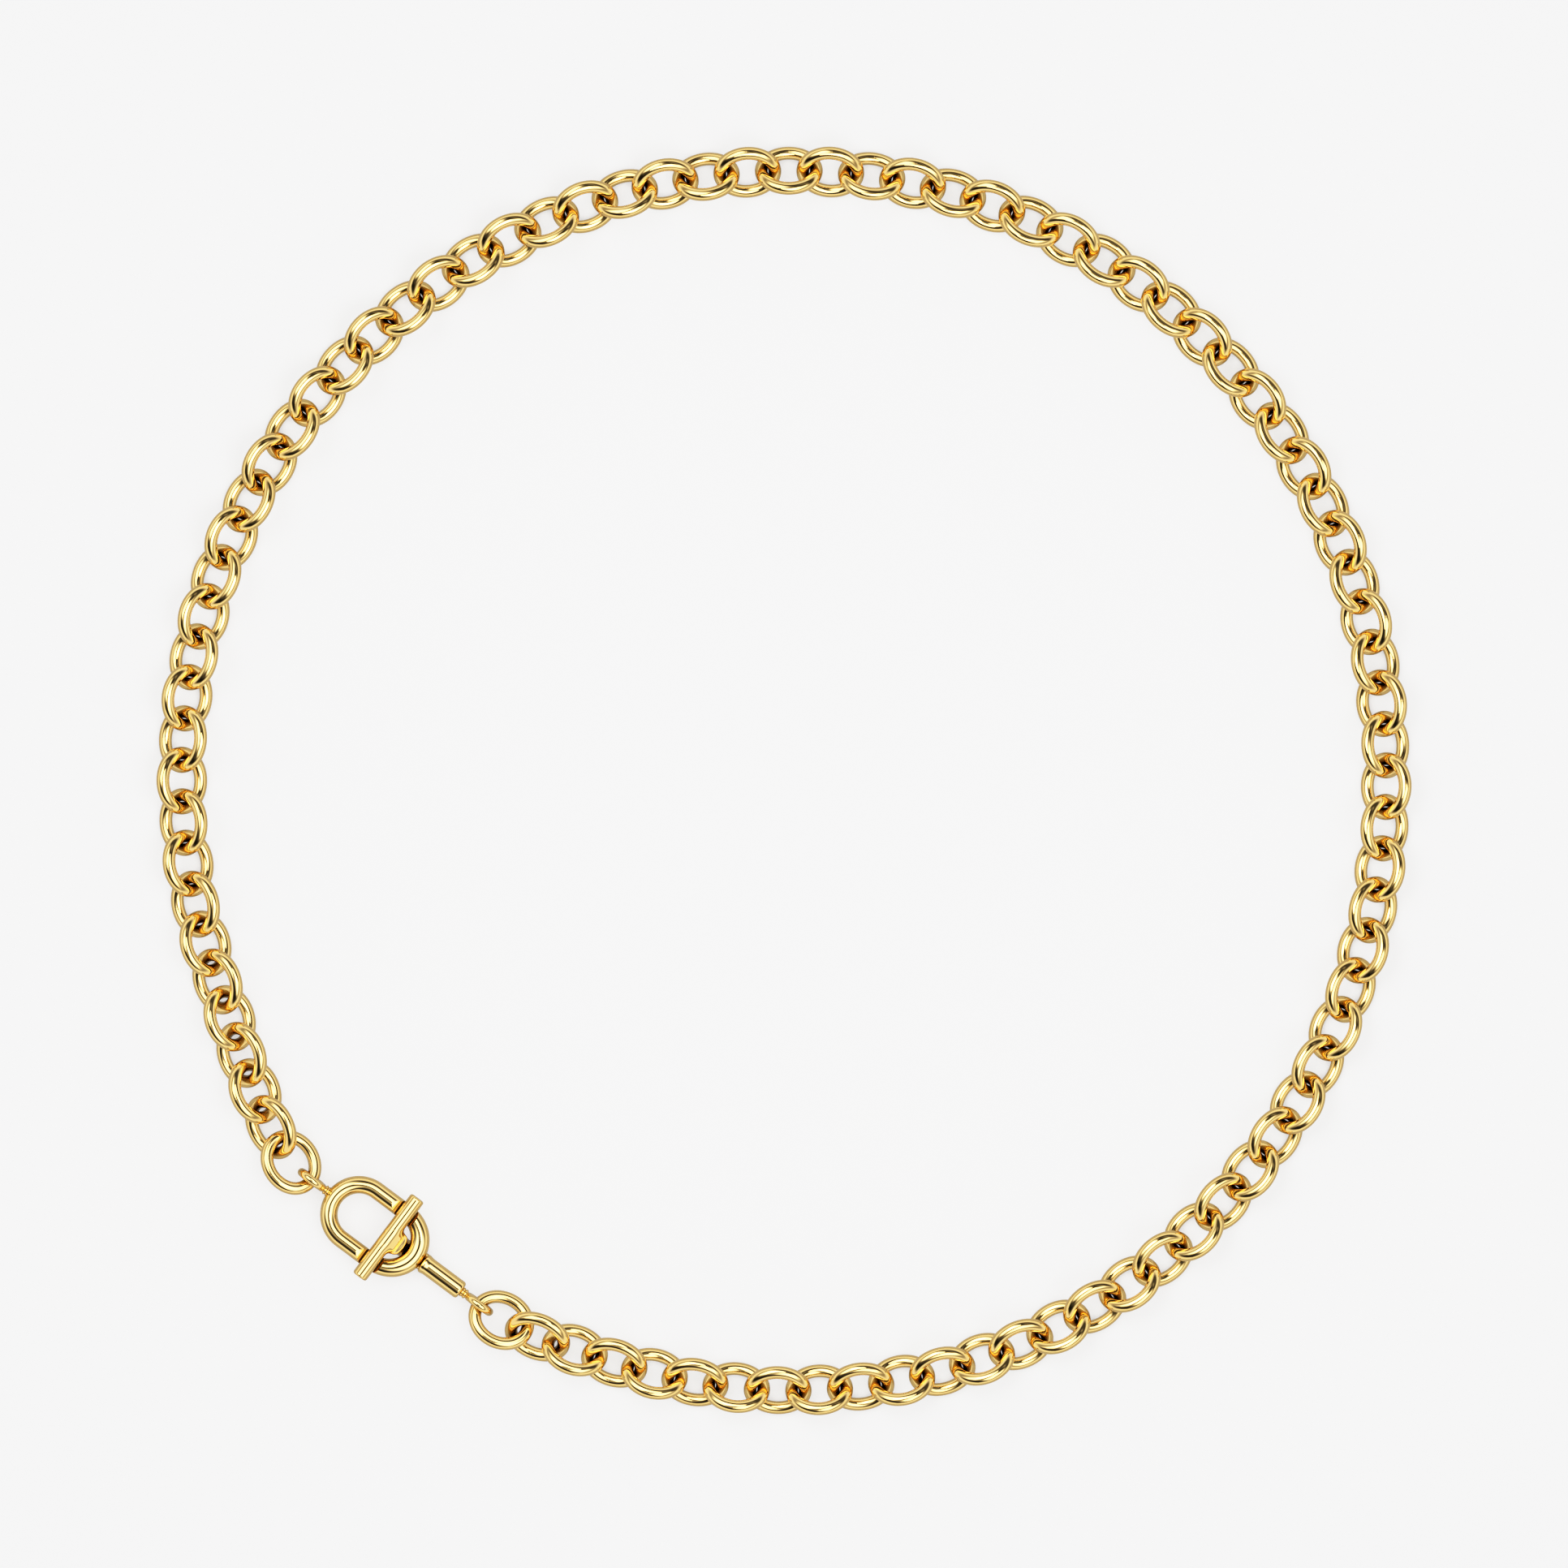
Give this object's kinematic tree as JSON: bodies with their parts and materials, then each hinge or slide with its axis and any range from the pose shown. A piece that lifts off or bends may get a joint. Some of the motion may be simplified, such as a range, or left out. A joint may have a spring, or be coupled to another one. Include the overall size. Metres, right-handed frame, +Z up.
{
  "type": "chain necklace",
  "caption": "Oval cable chain necklace closed by a toggle clasp, laid flat in a near circle.",
  "frame": {"origin": "centre of the outline, on the table it lies on", "axes": "+Z up from the table, +Y across the longer width of the loop, the clasp at low X and low Y"},
  "size_m": [0.15, 0.1518, 0.0051],
  "materials": {
    "chain_gold": "mirror polish",
    "clasp_gold": "mirror polish"
  },
  "bodies": {
    "clasp_ring": {"toggle_ring": "clasp_gold", "ring_collar": "clasp_gold", "ring_eye": "clasp_gold"},
    "clasp_bar": {"toggle_bar": "clasp_gold", "bar_tongue": "clasp_gold", "post": "clasp_gold", "post_collar": "clasp_gold", "post_eye": "clasp_gold"},
    "chain_01": {"links_01_02": "chain_gold"},
    "chain_02": {"links_03_04": "chain_gold"},
    "chain_03": {"links_05_06": "chain_gold"},
    "chain_04": {"links_07_08": "chain_gold"},
    "chain_05": {"links_09_10": "chain_gold"},
    "chain_06": {"links_11_12": "chain_gold"},
    "chain_07": {"links_13_14": "chain_gold"},
    "chain_08": {"links_15_16": "chain_gold"},
    "chain_09": {"links_17_18": "chain_gold"},
    "chain_10": {"links_19_20": "chain_gold"},
    "chain_11": {"links_21_22": "chain_gold"},
    "chain_12": {"links_23_24": "chain_gold"},
    "chain_13": {"links_25_26": "chain_gold"},
    "chain_14": {"links_27_28": "chain_gold"},
    "chain_15": {"links_29_30": "chain_gold"},
    "chain_16": {"links_31_32": "chain_gold"},
    "chain_17": {"links_33_34": "chain_gold"},
    "chain_18": {"links_35_36": "chain_gold"},
    "chain_19": {"links_37_38": "chain_gold"},
    "chain_20": {"links_39_40": "chain_gold"},
    "chain_21": {"links_41_42": "chain_gold"},
    "chain_22": {"links_43_44": "chain_gold"},
    "chain_23": {"links_45_46": "chain_gold"},
    "chain_24": {"links_47_48": "chain_gold"},
    "chain_25": {"links_49_50": "chain_gold"},
    "chain_26": {"links_51_52": "chain_gold"},
    "chain_27": {"links_53_54": "chain_gold"},
    "chain_28": {"links_55_56": "chain_gold"},
    "chain_29": {"links_57_58": "chain_gold"},
    "chain_30": {"links_59_60": "chain_gold"},
    "chain_31": {"links_61_62": "chain_gold"},
    "chain_32": {"links_63_64": "chain_gold"},
    "chain_33": {"links_65_66": "chain_gold"},
    "chain_34": {"links_67_68": "chain_gold"},
    "chain_35": {"links_69_70": "chain_gold"},
    "chain_36": {"links_71_72": "chain_gold"},
    "chain_37": {"links_73_74": "chain_gold"},
    "chain_38": {"links_75_76": "chain_gold"},
    "chain_39": {"links_77_78": "chain_gold"},
    "chain_40": {"links_79_80": "chain_gold"},
    "chain_41": {"links_81_82": "chain_gold"},
    "chain_42": {"links_83_84": "chain_gold"},
    "chain_43": {"links_85_86": "chain_gold"},
    "chain_44": {"link_87": "chain_gold"}
  },
  "joints": [
    {"name": "bar_slide", "type": "slide", "parent": "clasp_ring", "child": "clasp_bar", "axis": [0.5976, 0.8018, 0], "range_m": [-0.0004, 0.0004]},
    {"name": "hinge_01", "type": "hinge", "parent": "clasp_ring", "child": "chain_01", "pos_m": [-0.05647, -0.04777, 0.00243], "axis": [0, 0, 1], "range_deg": [-2.71, 2.71]},
    {"name": "hinge_02_corner", "type": "hinge", "parent": "chain_01", "child": "chain_02", "pos_m": [-0.06234, -0.03932, 0.00243], "axis": [0, 0, 1], "range_deg": [-8, 8]},
    {"name": "hinge_03", "type": "hinge", "parent": "chain_02", "child": "chain_03", "pos_m": [-0.06561, -0.03064, 0.00243], "axis": [0, 0, 1], "range_deg": [-7.53, 7.53]},
    {"name": "hinge_04", "type": "hinge", "parent": "chain_03", "child": "chain_04", "pos_m": [-0.0685, -0.02179, 0.00243], "axis": [0, 0, 1], "range_deg": [-4.25, 4.25]},
    {"name": "hinge_05_squeeze", "type": "hinge", "parent": "chain_04", "child": "chain_05", "pos_m": [-0.07086, -0.01236, 0.00243], "axis": [0, 0, 1], "range_deg": [-8, 8]},
    {"name": "hinge_06", "type": "hinge", "parent": "chain_05", "child": "chain_06", "pos_m": [-0.07195, -0.0025, 0.00243], "axis": [0, 0, 1], "range_deg": [-0.9, 0.9]},
    {"name": "hinge_07", "type": "hinge", "parent": "chain_06", "child": "chain_07", "pos_m": [-0.07167, 0.00743, 0.00243], "axis": [0, 0, 1], "range_deg": [-5.34, 5.34]},
    {"name": "hinge_08", "type": "hinge", "parent": "chain_07", "child": "chain_08", "pos_m": [-0.07002, 0.01722, 0.00243], "axis": [0, 0, 1], "range_deg": [-3.63, 3.63]},
    {"name": "hinge_09", "type": "hinge", "parent": "chain_08", "child": "chain_09", "pos_m": [-0.06704, 0.02668, 0.00243], "axis": [0, 0, 1], "range_deg": [-3.69, 3.69]},
    {"name": "hinge_10", "type": "hinge", "parent": "chain_09", "child": "chain_10", "pos_m": [-0.06278, 0.03565, 0.00243], "axis": [0, 0, 1], "range_deg": [-6.88, 6.88]},
    {"name": "hinge_11", "type": "hinge", "parent": "chain_10", "child": "chain_11", "pos_m": [-0.05733, 0.04395, 0.00243], "axis": [0, 0, 1], "range_deg": [-2.73, 2.73]},
    {"name": "hinge_12", "type": "hinge", "parent": "chain_11", "child": "chain_12", "pos_m": [-0.0508, 0.05143, 0.00243], "axis": [0, 0, 1], "range_deg": [-7.19, 7.19]},
    {"name": "hinge_13", "type": "hinge", "parent": "chain_12", "child": "chain_13", "pos_m": [-0.04333, 0.05796, 0.00243], "axis": [0, 0, 1], "range_deg": [-2.86, 2.86]},
    {"name": "hinge_14", "type": "hinge", "parent": "chain_13", "child": "chain_14", "pos_m": [-0.03504, 0.06342, 0.00243], "axis": [0, 0, 1], "range_deg": [-3.76, 3.76]},
    {"name": "hinge_15", "type": "hinge", "parent": "chain_14", "child": "chain_15", "pos_m": [-0.02609, 0.06772, 0.00243], "axis": [0, 0, 1], "range_deg": [-6.79, 6.79]},
    {"name": "hinge_16", "type": "hinge", "parent": "chain_15", "child": "chain_16", "pos_m": [-0.01664, 0.07076, 0.00243], "axis": [0, 0, 1], "range_deg": [-0.9, 0.9]},
    {"name": "hinge_17", "type": "hinge", "parent": "chain_16", "child": "chain_17", "pos_m": [-0.00686, 0.0725, 0.00243], "axis": [0, 0, 1], "range_deg": [-7.31, 7.31]},
    {"name": "hinge_18", "type": "hinge", "parent": "chain_17", "child": "chain_18", "pos_m": [0.00306, 0.07287, 0.00243], "axis": [0, 0, 1], "range_deg": [-2.24, 2.24]},
    {"name": "hinge_19", "type": "hinge", "parent": "chain_18", "child": "chain_19", "pos_m": [0.01293, 0.07187, 0.00243], "axis": [0, 0, 1], "range_deg": [-5.74, 5.74]},
    {"name": "hinge_20", "type": "hinge", "parent": "chain_19", "child": "chain_20", "pos_m": [0.02257, 0.06949, 0.00243], "axis": [0, 0, 1], "range_deg": [-2.89, 2.89]},
    {"name": "hinge_21", "type": "hinge", "parent": "chain_20", "child": "chain_21", "pos_m": [0.03178, 0.06578, 0.00243], "axis": [0, 0, 1], "range_deg": [-3.33, 3.33]},
    {"name": "hinge_22", "type": "hinge", "parent": "chain_21", "child": "chain_22", "pos_m": [0.04037, 0.06081, 0.00243], "axis": [0, 0, 1], "range_deg": [-5.14, 5.14]},
    {"name": "hinge_23", "type": "hinge", "parent": "chain_22", "child": "chain_23", "pos_m": [0.04818, 0.05468, 0.00243], "axis": [0, 0, 1], "range_deg": [-0.9, 0.9]},
    {"name": "hinge_24", "type": "hinge", "parent": "chain_23", "child": "chain_24", "pos_m": [0.05505, 0.04752, 0.00243], "axis": [0, 0, 1], "range_deg": [-5.95, 5.95]},
    {"name": "hinge_25", "type": "hinge", "parent": "chain_24", "child": "chain_25", "pos_m": [0.06086, 0.03947, 0.00243], "axis": [0, 0, 1], "range_deg": [-3.76, 3.76]},
    {"name": "hinge_26", "type": "hinge", "parent": "chain_25", "child": "chain_26", "pos_m": [0.06552, 0.0307, 0.00243], "axis": [0, 0, 1], "range_deg": [-4.43, 4.43]},
    {"name": "hinge_27", "type": "hinge", "parent": "chain_26", "child": "chain_27", "pos_m": [0.06895, 0.02138, 0.00243], "axis": [0, 0, 1], "range_deg": [-6.66, 6.66]},
    {"name": "hinge_28", "type": "hinge", "parent": "chain_27", "child": "chain_28", "pos_m": [0.07111, 0.0117, 0.00243], "axis": [0, 0, 1], "range_deg": [-2.75, 2.75]},
    {"name": "hinge_29", "type": "hinge", "parent": "chain_28", "child": "chain_29", "pos_m": [0.07199, 0.0018, 0.00243], "axis": [0, 0, 1], "range_deg": [-7.54, 7.54]},
    {"name": "hinge_30", "type": "hinge", "parent": "chain_29", "child": "chain_30", "pos_m": [0.07157, -0.00812, 0.00243], "axis": [0, 0, 1], "range_deg": [-1.59, 1.59]},
    {"name": "hinge_31", "type": "hinge", "parent": "chain_30", "child": "chain_31", "pos_m": [0.06986, -0.01789, 0.00243], "axis": [0, 0, 1], "range_deg": [-5.67, 5.67]},
    {"name": "hinge_32", "type": "hinge", "parent": "chain_31", "child": "chain_32", "pos_m": [0.06687, -0.02736, 0.00243], "axis": [0, 0, 1], "range_deg": [-7.12, 7.12]},
    {"name": "hinge_33", "type": "hinge", "parent": "chain_32", "child": "chain_33", "pos_m": [0.06266, -0.03635, 0.00243], "axis": [0, 0, 1], "range_deg": [-2.18, 2.18]},
    {"name": "hinge_34", "type": "hinge", "parent": "chain_33", "child": "chain_34", "pos_m": [0.05727, -0.04469, 0.00243], "axis": [0, 0, 1], "range_deg": [-7.59, 7.59]},
    {"name": "hinge_35", "type": "hinge", "parent": "chain_34", "child": "chain_35", "pos_m": [0.05079, -0.05221, 0.00243], "axis": [0, 0, 1], "range_deg": [-0.9, 0.9]},
    {"name": "hinge_36", "type": "hinge", "parent": "chain_35", "child": "chain_36", "pos_m": [0.04332, -0.05875, 0.00243], "axis": [0, 0, 1], "range_deg": [-3.92, 3.92]},
    {"name": "hinge_37", "type": "hinge", "parent": "chain_36", "child": "chain_37", "pos_m": [0.03501, -0.06417, 0.00243], "axis": [0, 0, 1], "range_deg": [-3.3, 3.3]},
    {"name": "hinge_38", "type": "hinge", "parent": "chain_37", "child": "chain_38", "pos_m": [0.02601, -0.06836, 0.00243], "axis": [0, 0, 1], "range_deg": [-2.74, 2.74]},
    {"name": "hinge_39", "type": "hinge", "parent": "chain_38", "child": "chain_39", "pos_m": [0.0165, -0.07122, 0.00243], "axis": [0, 0, 1], "range_deg": [-8.1, 8.1]},
    {"name": "hinge_40", "type": "hinge", "parent": "chain_39", "child": "chain_40", "pos_m": [0.00669, -0.0727, 0.00243], "axis": [0, 0, 1], "range_deg": [-0.9, 0.9]},
    {"name": "hinge_41", "type": "hinge", "parent": "chain_40", "child": "chain_41", "pos_m": [-0.00324, -0.07278, 0.00243], "axis": [0, 0, 1], "range_deg": [-8.1, 8.1]},
    {"name": "hinge_42", "type": "hinge", "parent": "chain_41", "child": "chain_42", "pos_m": [-0.01308, -0.07148, 0.00243], "axis": [0, 0, 1], "range_deg": [-4.21, 4.21]},
    {"name": "hinge_43", "type": "hinge", "parent": "chain_42", "child": "chain_43", "pos_m": [-0.02267, -0.0689, 0.00243], "axis": [0, 0, 1], "range_deg": [-3.42, 3.42]},
    {"name": "hinge_44", "type": "hinge", "parent": "chain_43", "child": "chain_44", "pos_m": [-0.03166, -0.06554, 0.00243], "axis": [0, 0, 1], "range_deg": [-6.78, 6.78]}
  ],
  "couplings": [
    {"joint": "hinge_01", "follows": "hinge_05_squeeze", "ratio": -0.3256},
    {"joint": "hinge_03", "follows": "hinge_05_squeeze", "ratio": 0.92879},
    {"joint": "hinge_04", "follows": "hinge_02_corner", "ratio": 0.51906},
    {"joint": "hinge_06", "follows": "hinge_02_corner", "ratio": -0.09965},
    {"joint": "hinge_07", "follows": "hinge_05_squeeze", "ratio": 0.65514},
    {"joint": "hinge_08", "follows": "hinge_02_corner", "ratio": -0.44095},
    {"joint": "hinge_09", "follows": "hinge_05_squeeze", "ratio": 0.4485},
    {"joint": "hinge_10", "follows": "hinge_02_corner", "ratio": -0.84683},
    {"joint": "hinge_11", "follows": "hinge_05_squeeze", "ratio": 0.32925},
    {"joint": "hinge_12", "follows": "hinge_02_corner", "ratio": -0.88561},
    {"joint": "hinge_13", "follows": "hinge_05_squeeze", "ratio": -0.34482},
    {"joint": "hinge_14", "follows": "hinge_02_corner", "ratio": -0.45687},
    {"joint": "hinge_15", "follows": "hinge_05_squeeze", "ratio": -0.83646},
    {"joint": "hinge_16", "follows": "hinge_02_corner", "ratio": -0.09979},
    {"joint": "hinge_17", "follows": "hinge_05_squeeze", "ratio": -0.90068},
    {"joint": "hinge_18", "follows": "hinge_02_corner", "ratio": 0.26699},
    {"joint": "hinge_19", "follows": "hinge_05_squeeze", "ratio": -0.70465},
    {"joint": "hinge_20", "follows": "hinge_02_corner", "ratio": 0.34907},
    {"joint": "hinge_21", "follows": "hinge_05_squeeze", "ratio": -0.40328},
    {"joint": "hinge_22", "follows": "hinge_02_corner", "ratio": 0.62942},
    {"joint": "hinge_23", "follows": "hinge_05_squeeze", "ratio": -0.09984},
    {"joint": "hinge_24", "follows": "hinge_02_corner", "ratio": 0.73121},
    {"joint": "hinge_25", "follows": "hinge_05_squeeze", "ratio": 0.45764},
    {"joint": "hinge_26", "follows": "hinge_02_corner", "ratio": 0.54124},
    {"joint": "hinge_27", "follows": "hinge_05_squeeze", "ratio": 0.82017},
    {"joint": "hinge_28", "follows": "hinge_02_corner", "ratio": 0.33118},
    {"joint": "hinge_29", "follows": "hinge_05_squeeze", "ratio": 0.93016},
    {"joint": "hinge_30", "follows": "hinge_02_corner", "ratio": -0.18657},
    {"joint": "hinge_31", "follows": "hinge_05_squeeze", "ratio": 0.69577},
    {"joint": "hinge_32", "follows": "hinge_02_corner", "ratio": -0.87689},
    {"joint": "hinge_33", "follows": "hinge_05_squeeze", "ratio": 0.25941},
    {"joint": "hinge_34", "follows": "hinge_02_corner", "ratio": -0.93559},
    {"joint": "hinge_35", "follows": "hinge_05_squeeze", "ratio": -0.09987},
    {"joint": "hinge_36", "follows": "hinge_02_corner", "ratio": -0.47764},
    {"joint": "hinge_37", "follows": "hinge_05_squeeze", "ratio": -0.40015},
    {"joint": "hinge_38", "follows": "hinge_02_corner", "ratio": -0.32955},
    {"joint": "hinge_39", "follows": "hinge_05_squeeze", "ratio": -0.99993},
    {"joint": "hinge_40", "follows": "hinge_02_corner", "ratio": -0.09988},
    {"joint": "hinge_41", "follows": "hinge_05_squeeze", "ratio": -0.99992},
    {"joint": "hinge_42", "follows": "hinge_02_corner", "ratio": 0.5138},
    {"joint": "hinge_43", "follows": "hinge_05_squeeze", "ratio": -0.41549},
    {"joint": "hinge_44", "follows": "hinge_02_corner", "ratio": 0.83409}
  ]
}
